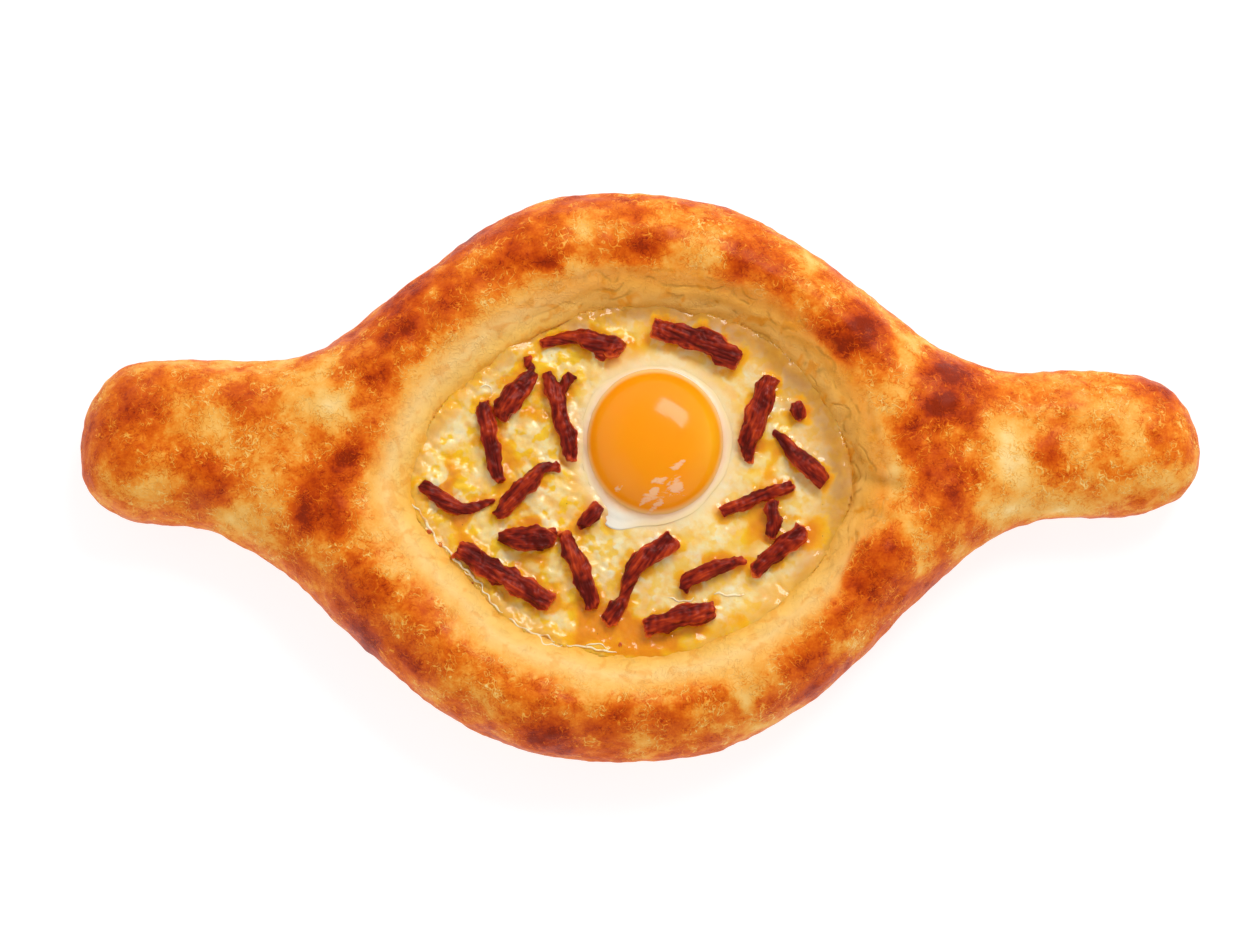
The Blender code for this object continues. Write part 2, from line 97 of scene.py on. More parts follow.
class Field:
    """A value that varies over a surface: one output socket among a material's nodes."""

    def __init__(self, tree, socket=None):
        self.tree = tree
        self.socket = socket

    def node(self, kind, settings=None, inputs=None, output=0):
        """A new node's output. Settings are set first, then each input's value or link."""
        made = self.tree.nodes.new(kind)
        for name, value in (settings or {}).items():
            if name == "stops":
                fill_ramp(made.color_ramp, value)
            else:
                setattr(made, name, value)
        for name, value in (inputs or {}).items():
            if isinstance(value, Field):
                self.tree.links.new(value.socket, made.inputs[name])
            else:
                made.inputs[name].default_value = value
        return Field(self.tree, made.outputs[output])

    def math(self, operation, left, right):
        return self.node("ShaderNodeMath", {"operation": operation}, {0: left, 1: right})

    def __add__(self, other):
        return self.math("ADD", self, other)

    def __sub__(self, other):
        return self.math("SUBTRACT", self, other)

    def __rsub__(self, other):
        return self.math("SUBTRACT", other, self)

    def __mul__(self, other):
        return self.math("MULTIPLY", self, other)

    def __abs__(self):
        return self.math("ABSOLUTE", self, 0.0)

    def sine(self):
        return self.math("SINE", self, 0.0)

    __radd__ = __add__
    __rmul__ = __mul__

    def ease(self, low, high):
        """0 below low, 1 above high, and smooth between."""
        span = {"From Min": low, "From Max": high}
        return self.node("ShaderNodeMapRange", {"interpolation_type": "SMOOTHSTEP"}, {"Value": self, **span})

    def ramp(self, stops):
        """The colour for this value, from (value, colour) stops."""
        return self.node("ShaderNodeValToRGB", {"stops": stops}, {"Fac": self})

    def mix(self, low, high):
        """The colour low where this value is 0, and high where it is 1."""
        return self.node("ShaderNodeMix", {"data_type": "RGBA"}, {0: self, 6: low, 7: high}, output=2)

    def attribute(self, name, output="Fac"):
        """A number or colour that the mesh carries at each point."""
        return self.node("ShaderNodeAttribute", {"attribute_name": name}, output=output)

    def place(self, shift=0.0, stretch=(1, 1, 1), turn=0.0):
        """Where a point lies, moved by shift metres, turned about Z and stretched, to set patterns apart."""
        values = {"Location": (shift, shift, shift), "Rotation": (0, 0, turn), "Scale": stretch}
        spot = self.node("ShaderNodeTexCoord", output="Object")
        return self.node("ShaderNodeMapping", None, {"Vector": spot, **values})

    def noise(self, size, detail=2.0, roughness=0.5, warp=0.0, place=None):
        """Cloudy noise from 0 to 1, with clouds about size millimetres across."""
        values = {"Vector": place or self.place(), "Scale": 1 / (size * MM), "Detail": detail}
        return self.node("ShaderNodeTexNoise", None, {**values, "Roughness": roughness, "Distortion": warp})

    def hairs(self, size, width, shift):
        """Fine curling lines, broken into short lengths, as 1 on a line and 0 away from it."""
        wander = self.noise(size, detail=0.6, warp=1.3, place=self.place(shift))
        shown = self.noise(2.2 * size, detail=1.0, place=self.place(-shift)).ease(0.44, 0.56)
        return (1 - abs(wander - 0.5).ease(0.3 * width, width)) * shown

    def specks(self, spacing, size, share):
        """Sparse round specks: one in each cell spacing millimetres across, in only a share of the cells."""
        values = {"Vector": self.place(), "Scale": 1 / (spacing * MM)}
        near = self.node("ShaderNodeTexVoronoi", None, values)
        chance = self.node("ShaderNodeTexVoronoi", None, values, "Color")
        chance = self.node("ShaderNodeSeparateColor", None, {0: chance})
        return (1 - near.ease(0.6 * size / spacing, size / spacing)) * (1 - chance.ease(share, share + 0.01))

    def bump(self, height, depth, strength=1.0, normal=None):
        """A surface direction tilted by a height from 0 to 1 that stands for depth millimetres."""
        values = {"Height": height, "Distance": depth * MM, "Strength": strength}
        if normal:
            values["Normal"] = normal
        return self.node("ShaderNodeBump", None, values)


def fill_ramp(ramp, stops):
    """Sets a colour ramp's stops, given as (place, colour)."""
    while len(ramp.elements) < len(stops):
        ramp.elements.new(0.5)
    for element, (place, colour) in zip(ramp.elements, stops):
        element.position = place
        element.color = colour


def srgb(red, green, blue):
    """A colour given as a screen shows it, from 0 to 255, in the linear values that shaders take."""
    shown = (red / 255, green / 255, blue / 255)
    linear = [c / 12.92 if c <= 0.04045 else ((c + 0.055) / 1.055) ** 2.4 for c in shown]
    return (*linear, 1.0)


def socket_name(name):
    """The shader's socket for a name such as coat_weight."""
    return name.replace("_", " ").title().replace("Ior", "IOR")


def new_material(name, **constants):
    """A Principled material with its constant sockets set, and a Field to build on."""
    made = bpy.data.materials.new(name)
    made.use_nodes = True
    shader = made.node_tree.nodes["Principled BSDF"]
    for socket, value in constants.items():
        shader.inputs[socket_name(socket)].default_value = value
    return made, shader, Field(made.node_tree)


def connect(shader, **fields):
    """Feeds fields to a shader's sockets."""
    for socket, field in fields.items():
        field.tree.links.new(field.socket, shader.inputs[socket_name(socket)])


# ---------------------------------------------------------------- shapes


def ease(value, low, high):
    """0 below low, 1 above high, and smooth between."""
    t = np.clip((value - low) / (high - low), 0, 1)
    return t * t * (3 - 2 * t)


def bell(value, width):
    """1 at 0, falling off to nothing past about twice the width."""
    return np.exp(-((value / width) ** 2))


def ripple(points, size, seed, waves=30):
    """Smooth random unevenness, mostly between -1 and 1, with bumps about size across."""
    dice = np.random.default_rng(seed)
    total = np.zeros(len(points))
    for _ in range(waves):
        turn = dice.normal(size=points.shape[1])
        turn *= math.pi * dice.uniform(0.6, 1.3) / (size * np.linalg.norm(turn))
        total += np.cos(points @ turn + dice.uniform(0, 2 * math.pi))
    return total / math.sqrt(waves)


def smooth_line(corners, count, closed):
    """count points evenly spaced along a Catmull-Rom curve through corners."""
    control = np.array(corners, float)
    if closed:
        control = np.vstack([control[-1], control, control[:2]])
    else:
        control = np.vstack([2 * control[0] - control[1], control, 2 * control[-1] - control[-2]])
    t = np.linspace(0, 1, 20, endpoint=False)[:, None]
    fine = [
        0.5 * (2 * b + (c - a) * t + (2 * a - 5 * b + 4 * c - d) * t**2 + (3 * b - 3 * c + d - a) * t**3)
        for a, b, c, d in zip(control[:-3], control[1:-2], control[2:-1], control[3:])
    ]
    fine = np.vstack([*fine, control[-2]])
    run = np.concatenate([[0], np.cumsum(np.linalg.norm(np.diff(fine, axis=0), axis=1))])
    wanted = np.linspace(0, run[-1], count, endpoint=not closed)
    return np.stack([np.interp(wanted, run, fine[:, k]) for k in range(fine.shape[1])], axis=1)


def line_distance(points, line, closed=False):
    """How far each point lies from a line, seen from above, in even steps along the line."""
    starts = line if closed else line[:-1]
    along = (np.roll(line, -1, axis=0) if closed else line[1:])[: len(starts)] - starts
    near = []
    for part in np.array_split(points[:, :2], max(1, len(points) // 8000)):
        from_start = part[:, None] - starts
        t = np.clip((from_start * along).sum(2) / (along**2).sum(1), 0, 1)
        near.append(np.linalg.norm(from_start - along * t[..., None], axis=2).min(1))
    return np.concatenate(near)


def within(points, loop):
    """True for the points inside a closed line, seen from above."""
    x, y = points[:, 0, None], points[:, 1, None]
    ax, ay = loop.T
    bx, by = np.roll(loop, -1, axis=0).T
    with np.errstate(divide="ignore", invalid="ignore"):
        at = ax + (y - ay) * (bx - ax) / (by - ay)
    return (((ay > y) != (by > y)) & (x < at)).sum(1) % 2 == 1


OPENING_LINE = smooth_line(OPENING, 120, closed=True)


def opening_distance(points):
    """How far outside the opening each point lies, negative inside it."""
    return line_distance(points, OPENING_LINE, closed=True) * np.where(within(points, OPENING_LINE), -1, 1)


def wall_shade(points):
    """How much the far and right walls shade what lies beside them, and the right wall's own share."""
    angle = np.degrees(np.arctan2(points[:, 1], points[:, 0]))
    shaded = ease(angle, -45, -5) * ease(-angle, -145, -95)
    return shaded, shaded * ease(-np.abs(angle), -60, -30)


# ---------------------------------------------------------------- meshes


def read_points(mesh):
    flat = np.empty(len(mesh.vertices) * 3, np.float32)
    mesh.vertices.foreach_get("co", flat)
    return flat.reshape(-1, 3).astype(float) / MM


def write_points(mesh, points):
    mesh.vertices.foreach_set("co", (points * MM).astype(np.float32).ravel())
    mesh.update()


def read_normals(mesh):
    flat = np.empty(len(mesh.vertices) * 3, np.float32)
    mesh.vertex_normals.foreach_get("vector", flat)
    return flat.reshape(-1, 3).astype(float)


def paint(mesh, name, values):
    """Stores one number for each point of the mesh, for a material to read."""
    made = mesh.attributes.new(name, "FLOAT", "POINT")
    made.data.foreach_set("value", np.asarray(values, np.float32))


def skin(node, name, size):
    """A new piece in the shape of a CAD node, as an even net of small quads."""
    source = frame["nodes"][node]
    piece = bpy.data.objects.new(name, source.data.copy())
    bpy.context.scene.collection.objects.link(piece)
    remesh = piece.modifiers.new("skin", "REMESH")
    remesh.mode = "VOXEL"
    remesh.voxel_size = size * MM
    evaluated = piece.evaluated_get(bpy.context.evaluated_depsgraph_get())
    mesh = bpy.data.meshes.new_from_object(evaluated)
    piece.modifiers.clear()
    piece.data = mesh
    mesh.name = name
    mesh.materials.clear()
    return piece


def soften(mesh, points, rounds):
    """Smooths away facets without shrinking the shape."""
    edges = np.empty(len(mesh.edges) * 2, np.int32)
    mesh.edges.foreach_get("vertices", edges)
    first, second = edges.reshape(-1, 2).T
    count = len(points)
    shared = np.maximum(np.bincount(edges, minlength=count), 1)[:, None]
    for step in range(2 * rounds):
        total = np.stack(
            [
                np.bincount(first, points[second, k], count) + np.bincount(second, points[first, k], count)
                for k in range(3)
            ],
            axis=1,
        )
        points = points + (0.6 if step % 2 == 0 else -0.62) * (total / shared - points)
    return points


def finish_piece(piece, material, slot, *nodes):
    """Shades a piece, hangs it on the root body and hides the CAD nodes it stands for."""
    piece.data.materials.clear()
    piece.data.materials.append(material)
    piece.data.shade_smooth()
    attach(piece, "root")
    if nodes:
        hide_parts(*nodes)
    return piece


def mesh_piece(name, points, faces):
    """A new piece from points in millimetres and faces."""
    mesh = bpy.data.meshes.new(name)
    mesh.from_pydata((np.asarray(points) * MM).tolist(), [], [list(face) for face in faces])
    mesh.update()
    piece = bpy.data.objects.new(name, mesh)
    bpy.context.scene.collection.objects.link(piece)
    return piece


# ---------------------------------------------------------------- the loaf

# Creases in the far inner wall, each as a distance from the opening and a depth.
WALL_FOLDS = ((1.6, 0.4), (4.4, 0.5), (7.8, 0.4), (11.4, 0.3))
# Lines pinched into the dough at the right of the opening, each a depth and its points.
PINCH_LINES = (
    (0.6, ((47.5, -6.0), (51.3, -4.0), (54.5, -3.1), (60.3, -3.7), (69.0, -5.7))),
    (0.6, ((46.1, 14.0), (49.4, 8.2), (52.6, 3.1), (54.2, -0.8), (53.9, -4.6))),
    (0.3, ((55.6, 4.2), (59.6, -0.9), (62.6, -5.0))),
    (0.3, ((54.6, -9.8), (59.6, -10.9), (65.6, -14.0))),
)
TOAST_WARP = 2.2


def small_blisters():
    """Small blisters dotted over the crust by chance: x, y, radius, and how brown each one is."""
    dice = np.random.default_rng(41)
    places = dice.uniform(-1, 1, (SMALL_BLISTERS, 2)) * CRUST_REACH
    radii = dice.uniform(*SMALL_BLISTER_RADII, SMALL_BLISTERS)
    browning = dice.uniform(*SMALL_BLISTER_BROWNING, SMALL_BLISTERS)
    return [(*place, r, b) for place, r, b in zip(places, radii, browning)]


def blister_swell(points):
    """How far each blister stands up, and how dark the crust is there."""
    swell = np.zeros(len(points))
    dark = np.zeros(len(points))
    for x, y, radius, strength in (*BLISTERS, *small_blisters()):
        aside = np.hypot(points[:, 0] - x, points[:, 1] - y)
        dark += strength * bell(aside, radius)
        swell += min(1.0, 2.2 * strength) * bell(aside, 0.75 * radius)
    return swell, dark


def toast(points, normals, to_opening, dark):
    """How brown the crust is at each point, from 0, pale dough, to 1, nearly burnt, with painted shade on the
    right inner wall.
    """
    x, y = points[:, 0], points[:, 1]
    right = wall_shade(points)[1]
    # On the right inner wall the brown begins nearer the opening: painted shade of that wall, not browning.
    rim = ease(to_opening, 4 - 2 * right, 19 - 5 * right) * (1 - 0.35 * ease(np.abs(x), 84, 100))
    side = ease(-normals[:, 2], -0.5, 0.25)
    pale = sum(strength * bell(np.hypot(x - px, y - py), radius) for px, py, radius, strength in PALE_PATCHES)
    cloudy = 0.13 * ripple(points, 13, 31) + 0.10 * ripple(points, 5.5, 32) + 0.06 * ripple(points, 2.6, 33)
    top = 0.08 + 0.37 * rim + 1.15 * rim * cloudy + dark * (0.45 + 0.75 * rim) - pale
    wall = 0.57 + 0.06 * ripple(points, 9, 34)
    under = 0.34 + 0.10 * ripple(points, 11, 35)
    browned = top + (wall - top) * side
    return np.clip(browned + (under - browned) * ease(-normals[:, 2], 0.5, 0.9), 0, 1)


def shape_bread():
    """The loaf, with its swellings, blisters, wrinkled skin and the folds of its inner wall."""
    piece = skin("bread", "crust", CRUST_SKIN)
    mesh = piece.data
    points = soften(mesh, read_points(mesh), 26)
    write_points(mesh, points)
    normals = read_normals(mesh)
    to_opening = opening_distance(points)
    drift = np.column_stack([ripple(points, 7, 45), ripple(points, 7, 46), np.zeros(len(points))])
    swell, _ = blister_swell(points)
    _, dark = blister_swell(points + TOAST_WARP * drift)
    shaded, _ = wall_shade(points)
    lifted = ease(points[:, 2], 1.0, 7.0)
    wobble = 1.4 * ripple(points, 16, 41) + 0.5 * ripple(points, 6, 47)
    push = 0.30 * ripple(points, 13, 42) + 0.17 * ripple(points, 4.5, 43) + 0.09 * ripple(points, 2.0, 44)
    push += 0.45 * swell - 0.25
    for reach, depth in WALL_FOLDS:
        strength = ease(ripple(points, 18, int(reach * 10)), -0.9, 0.5)
        push -= depth * shaded * strength * bell(to_opening - reach - wobble, 1.2)
    pinched = np.zeros(len(points))
    for depth, corners in PINCH_LINES:
        aside = line_distance(points + 0.8 * drift, smooth_line(corners, 16, closed=False))
        push -= depth * bell(aside, 1.6)
        pinched = np.maximum(pinched, depth * bell(aside, 1.4))
    in_hollow = (to_opening < 0.4) & (points[:, 2] < FILLING_LEVEL + 0.6)
    points = points + normals * (push * lifted * ~in_hollow)[:, None]
    points[:, 2] = np.maximum(points[:, 2], 0)
    write_points(mesh, points)
    # toast also holds the painted shade of the right inner wall.
    paint(mesh, "toast", toast(points, normals, to_opening, dark))
    paint(mesh, "reach", np.maximum(to_opening, 0) / 20)
    paint(mesh, "shaded", shaded)
    # pinched: where the pinched lines lie, darkened in the crust colour as painted shade.
    paint(mesh, "pinched", np.minimum(pinched, 1))
    paint(mesh, "upper", ease(normals[:, 2], 0, 0.4))
    paint(mesh, "underside", ease(-normals[:, 2], 0.5, 0.95))
    return finish_piece(piece, crust_material(), "crust", "bread")


def crust_material():
    """Baked crust under egg wash: golden dough to dark blisters, with fine hair-like wrinkles, and painted
    shade on the far and right inner walls and in their folds.
    """
    made, shader, field = new_material(
        "crust_finish", coat_roughness=0.3, coat_ior=1.4, specular_ior_level=0.07
    )
    browned = field.attribute("toast")
    reach = field.attribute("reach")
    shaded = field.attribute("shaded")
    upper = field.attribute("upper")
    underside = field.attribute("underside")
    clouds = field.noise(5.5, detail=3.0, roughness=0.6, warp=0.4)
    mottle = field.noise(2.0, detail=4.0, roughness=0.65)
    grain = field.noise(0.6, detail=2.0, roughness=0.6)
    curls = field.hairs(2.7, 0.034, 0.0)
    fine_curls = field.hairs(1.7, 0.05, 0.37)
    crusty = browned.ease(0.1, 0.45)
    level = browned + (clouds - 0.5) * 0.46 * crusty + (mottle - 0.5) * (0.14 + crusty * 0.42)
    level = level + (grain - 0.5) * (0.12 + crusty * 0.16) - curls * 0.26 * crusty + fine_curls * 0.14
    colour = level.ramp(
        [
            (0.00, srgb(254, 214, 142)),
            (0.12, srgb(250, 195, 106)),
            (0.24, srgb(246, 173, 74)),
            (0.35, srgb(241, 148, 46)),
            (0.47, srgb(232, 118, 20)),
            (0.60, srgb(217, 94, 8)),
            (0.76, srgb(196, 71, 1)),
            (0.90, srgb(168, 50, 0)),
            (1.00, srgb(142, 38, 0)),
        ]
    )
    wander = field.noise(9.0, detail=1.0) * 11.0 + field.noise(3.0, detail=1.0) * 1.2
    creases = 1 - abs((reach * 21.0 + wander).sine()).ease(0.05, 0.75)
    broken = field.noise(5.0, place=field.place(0.11)).ease(0.42, 0.6)
    creases = creases * broken * shaded * upper * (1 - reach.ease(0.32, 0.62))
    pinched = field.attribute("pinched")
    step = reach + (clouds - 0.5) * 0.16
    near = (1 - step.ease(0.30, 0.62)) * upper * (1 - browned.ease(0.36, 0.62))
    sunny = step.ramp(
        [
            (0.0, srgb(246, 182, 64)),
            (0.15, srgb(252, 202, 106)),
            (0.3, srgb(252, 208, 130)),
            (0.5, srgb(250, 186, 88)),
        ]
    )
    shady = step.ramp(
        [
            (0.0, srgb(226, 160, 54)),
            (0.12, srgb(242, 180, 84)),
            (0.25, srgb(244, 174, 68)),
            (0.42, srgb(242, 152, 42)),
            (0.6, srgb(240, 130, 22)),
        ]
    )
    streaks = field.noise(4.5, detail=2.0, warp=0.6, place=field.place(0.31)).ease(0.52, 0.68)
    # Near the opening the far and right walls take the shady colours: painted shade of those walls.
    colour = (near * 0.92).mix(colour, shaded.mix(sunny, shady))
    # The amber streaks are the dough's own colour, laid on more strongly on the far and right walls as
    # painted shade.
    colour = (streaks * near * (0.42 + shaded * 0.4)).mix(colour, srgb(236, 148, 20))
    # Painted shade in the folds of the far wall: the creases darkened towards olive-brown; the same lines
    # also dent the bump.
    colour = (creases * 0.46).mix(colour, srgb(168, 112, 20))
    # Painted shade along the pinched lines: darkened towards olive-brown.
    colour = (pinched * 0.7).mix(colour, srgb(168, 112, 20))
    flour = underside * field.noise(6.0, detail=5.0, roughness=0.7).ease(0.42, 0.62)
    colour = (flour * 0.6).mix(colour, srgb(244, 228, 196))
    height = curls * 0.5 - fine_curls * 0.35 + grain * 0.5 + mottle * 0.7 - creases * 0.7
    glossy = field.noise(16.0, place=field.place(0.23)).ease(0.45, 0.65)
    connect(
        shader,
        base_color=colour,
        roughness=0.5 - near * 0.15 + underside * 0.3,
        coat_weight=(1 - underside) * (0.06 + glossy * crusty * 0.16 + near * 0.3),
        normal=field.bump(height, 0.3, 0.7),
    )
    return made


# ---------------------------------------------------------------- the cheese


def strip_feet():
    """A search tree of the points where the strips of beef lie."""
    feet = [read_points(node.data) for name, node in frame["nodes"].items() if name.startswith("beef")]
    feet = np.vstack(feet)
    tree = kdtree.KDTree(len(feet))
    for number, point in enumerate(feet):
        tree.insert(Vector((point[0], point[1], 0)), number)
    tree.balance()
    return tree


def cheese_height(points):
    """The molten cheese: curds and creases at the left, smoother at the right, hugging what lies in it."""
    inset = -opening_distance(points)
    curds = 0.3 + 0.7 * ease(-points[:, 0], -8, 22)
    lumps = np.abs(ripple(points, 4.2, 51)) * 0.42 + np.abs(ripple(points, 2.1, 52)) * 0.24
    lumps += 0.08 * ripple(points, 1.2, 54)
    height = FILLING_LEVEL - 0.35 + curds * lumps + 0.3 * ripple(points, 9, 53)
    height += 1.1 * bell(np.maximum(inset, 0), 3.2) * (1 + 0.35 * ripple(points, 5, 55))
    from_yolk = np.linalg.norm((points - YOLK_CENTRE) / YOLK_RADII, axis=1)
    calm = ease(from_yolk, 1.02, 1.35)
    height = FILLING_LEVEL + (height - FILLING_LEVEL) * (0.25 + 0.75 * calm)
    return height - 1.5 * ease(-from_yolk, -0.98, -0.8)


# Where butterfat has gathered: x, y, radius, and how much of it.
FAT_POOLS = (
    (-15, -41, 4, 0.9), (-8, -44, 5, 1.3), (0, -46, 5, 1.3), (8, -47, 4, 0.9), (18, -45, 4, 0.5),
    (27, -42, 4, 0.5),
    (-48, -14, 4, 0.6), (-30, -14, 3, 0.7), (-27, -25, 3, 0.5), (31, -17, 4, 0.6), (20, -24, 3, 0.4),
    (-34, 4, 4, 0.4), (-26, 16, 4, 0.5), (-49, 4, 4, 0.5), (-51, -2, 3, 0.6), (-9, -15, 3, 0.5),
    (-16, -4, 4, 0.5), (32, 8, 3.5, 0.5), (35, -1, 3.5, 0.5), (-20, -36, 3, 0.6), (-2, 32, 5, 0.4),
    (12, 27, 4, 0.4), (47, -16, 4, 0.6), (-14, -44, 4, 0.6), (-36, 22, 4, 0.4), (36, -10, 3, 0.5),
)


def shape_cheese():
    """The filling: a fine grid over the opening that reaches a little into the crust, closed below."""
    low, high = OPENING_LINE.min(0) - 2, OPENING_LINE.max(0) + 2
    across, along = ((high - low) / CHEESE_GRID).astype(int) + 1
    xs = low[0] + np.arange(across) * CHEESE_GRID
    ys = low[1] + np.arange(along) * CHEESE_GRID
    grid = np.stack(np.meshgrid(xs, ys, indexing="ij"), axis=2).reshape(-1, 2)
    inside = opening_distance(grid) < 1.6
    kept = inside.reshape(across, along)
    cells = kept[:-1, :-1] & kept[1:, :-1] & kept[:-1, 1:] & kept[1:, 1:]
    number = np.arange(across * along).reshape(across, along)
    i, j = np.nonzero(cells)
    faces = np.stack([number[i, j], number[i + 1, j], number[i + 1, j + 1], number[i, j + 1]], axis=1)
    used, faces = np.unique(faces, return_inverse=True)
    faces = faces.reshape(-1, 4)
    flat = grid[used]
    tree = strip_feet()
    aside = np.array([tree.find(Vector((x, y, 0)))[2] for x, y in flat])
    height = cheese_height(flat) + 0.45 * bell(aside, 1.3)
    piece = mesh_piece("cheese", np.column_stack([flat, height]), faces)
    close_below(piece.data, FILLING_FLOOR)
    mesh = piece.data
    points = read_points(mesh)
    flat = points[:, :2]
    inset = np.maximum(-opening_distance(points), 0)
    reach = np.array([tree.find(Vector((x, y, 0)))[2] for x, y in flat])
    warped = flat + 1.6 * np.column_stack([ripple(flat, 5, 61), ripple(flat, 5, 62)])
    fat = sum(share * bell(np.linalg.norm(warped - (px, py), axis=1), r) for px, py, r, share in FAT_POOLS)
    fat = fat + 0.6 * bell(reach, 2.4) * ease(ripple(flat, 4, 63), -0.9, 0.5)
    from_yolk = np.linalg.norm((flat - YOLK_CENTRE) / YOLK_RADII, axis=1)
    paint(mesh, "fat", np.clip(1.15 * fat, 0, 1) * ease(from_yolk, 1.05, 1.3))
    paint(mesh, "curd", ease(-points[:, 0], -8, 22))
    shaded, right = wall_shade(points)
    # The border band is wider on the right wall, to carry its painted shade.
    paint(mesh, "edge", bell(inset, 3.0 + 4.0 * right))
    paint(mesh, "shaded", shaded)
    paint(mesh, "egg", ease(-from_yolk, -1.42, -1.08))
    return finish_piece(piece, cheese_material(), "cheese", "cheese_filling")


def close_below(mesh, floor):
    """Draws the open edge of a sheet down to a flat floor and closes it."""
    shape = bmesh.new()
    shape.from_mesh(mesh)
    rim = [edge for edge in shape.edges if edge.is_boundary]
    made = bmesh.ops.extrude_edge_only(shape, edges=rim)["geom"]
    for vertex in (item for item in made if isinstance(item, bmesh.types.BMVert)):
        vertex.co.z = floor * MM
    bottom = [edge for edge in shape.edges if edge.is_boundary]
    bmesh.ops.holes_fill(shape, edges=bottom)
    bmesh.ops.triangulate(shape, faces=[face for face in shape.faces if len(face.verts) > 4])
    bmesh.ops.recalc_face_normals(shape, faces=shape.faces)
    shape.to_mesh(mesh)
    shape.free()


def cheese_material():
    """Molten cheese: cream, with soft yellow patches and orange butterfat in the pools, and a border darkened
    under the far and right walls as painted shade.
    """
    made, shader, field = new_material(
        "cheese_finish",
        coat_weight=0.55,
        coat_roughness=0.07,
        specular_ior_level=0.1,
        subsurface_weight=0.4,
        subsurface_scale=0.002,
        subsurface_radius=(1.0, 0.7, 0.3),
    )
    fat = field.attribute("fat")
    curd = field.attribute("curd")
    edge = field.attribute("edge")
    shaded = field.attribute("shaded")
    egg = field.attribute("egg")
    soft = field.noise(6.0, detail=2.0)
    blots = field.noise(2.6, detail=3.0, roughness=0.6)
    fine = field.noise(0.8, detail=2.0)
    cream = (blots + (soft - 0.5) * 0.8).ramp(
        [
            (0.25, srgb(255, 206, 112)),
            (0.42, srgb(255, 219, 142)),
            (0.58, srgb(255, 229, 168)),
            (0.80, srgb(255, 246, 214)),
        ]
    )
    blush = field.noise(7.0, detail=2.0, place=field.place(0.61)).ease(0.5, 0.68)
    colour = (blush * 0.7).mix(cream, srgb(254, 192, 92))
    yellow = field.noise(4.2, detail=2.0, roughness=0.55, place=field.place(0.41)).ease(0.50, 0.60)
    colour = (yellow * (0.55 + curd * 0.4)).mix(colour, srgb(255, 200, 22))
    # The border by the crust: golden where lit, darkened under the far and right walls as painted shade.
    border = shaded.mix(srgb(240, 174, 52), srgb(198, 130, 26))
    colour = (edge * (0.82 + (blots - 0.5) * 0.6)).mix(colour, border)
    rich = (fat + (blots - 0.5) * 0.9).ease(0.10, 0.55)
    butter = (fat + (soft - 0.5)).ramp(
        [(0.15, srgb(255, 200, 30)), (0.5, srgb(252, 178, 12)), (0.95, srgb(238, 146, 4))]
    )
    colour = (rich * 0.96).mix(colour, butter)
    colour = (egg * 0.8).mix(colour, srgb(255, 226, 176))
    colour = (field.specks(4.0, 0.32, 0.16) * 0.6).mix(colour, srgb(120, 84, 30))
    height = fine * (0.2 + curd * 0.4) + blots * 0.8
    connect(shader, base_color=colour, roughness=0.36 - rich * 0.16, normal=field.bump(height, 0.3, 0.5))
    return made


# ---------------------------------------------------------------- the egg


def disc(rings, turns):
    """Rings of directions round a centre with their share of the radius, from 0 to 1, and their faces."""
    angle = np.arange(turns) * 2 * math.pi / turns
    share = np.repeat(np.arange(1, rings + 1) / rings, turns)
    around = np.tile(np.stack([np.cos(angle), np.sin(angle)], axis=1), (rings, 1))
    flat = np.vstack([[(0.0, 0.0)], around * share[:, None]])
    faces = [(0, 1 + k, 1 + (k + 1) % turns) for k in range(turns)]
    for ring in range(rings - 1):
        low, high = 1 + ring * turns, 1 + (ring + 1) * turns
        faces += [(low + k, high + k, high + (k + 1) % turns, low + (k + 1) % turns) for k in range(turns)]
    return flat, faces


def shape_yolk():
    """The yolk's dome, not quite round, under its wet skin."""
    flat, faces = disc(44, 128)
    out = np.linalg.norm(flat, axis=1)
    ground = YOLK_CENTRE + (0.0, 0.4) + flat * (YOLK_RADII + (0.2, 0.6))
    dome = YOLK_RISE * np.clip(1 - out**2.3, 0, 1) ** 0.66
    dome += ease(-out, -1.0, -0.7) * (0.12 * ripple(ground, 12, 71) + 0.015 * ripple(ground, 2.5, 72))
    piece = mesh_piece("yolk", np.column_stack([ground, FILLING_LEVEL + 0.2 + dome]), faces)
    close_below(piece.data, FILLING_LEVEL - 2)
    mesh = piece.data
    points = read_points(mesh)
    film = np.zeros(len(points))
    for x, y, along, across in YOLK_FILM:
        offset = (points[:, :2] - (x, y)) @ FILM_TURN
        film = np.maximum(film, bell(np.hypot(offset[:, 0] / along, offset[:, 1] / across), 1.15))
    paint(mesh, "film", film)
    from_centre = (points[:, :2] - YOLK_CENTRE) / YOLK_RADII
    paint(mesh, "rim", np.linalg.norm(from_centre, axis=1))
    paint(mesh, "lit", ease(from_centre @ np.array([0.95, 0.1]), 0.25, 0.95))
    return finish_piece(piece, yolk_material(), "yolk", "egg_yolk")


# Flakes of white drying on the yolk: x, y, and each patch's reach along and across its slant.
YOLK_FILM = (
    (9.1, -6.1, 3.0, 2.6), (2.7, -7.7, 4.2, 1.5), (4.9, -4.6, 2.4, 1.6),
    (10.0, -0.4, 3.2, 1.0), (-5.9, -6.1, 2.2, 0.8), (3.8, -10.6, 4.0, 0.8),
)
FILM_SLANT = math.radians(38)
FILM_TURN = np.array(
    [[math.cos(FILM_SLANT), -math.sin(FILM_SLANT)], [math.sin(FILM_SLANT), math.cos(FILM_SLANT)]]
)


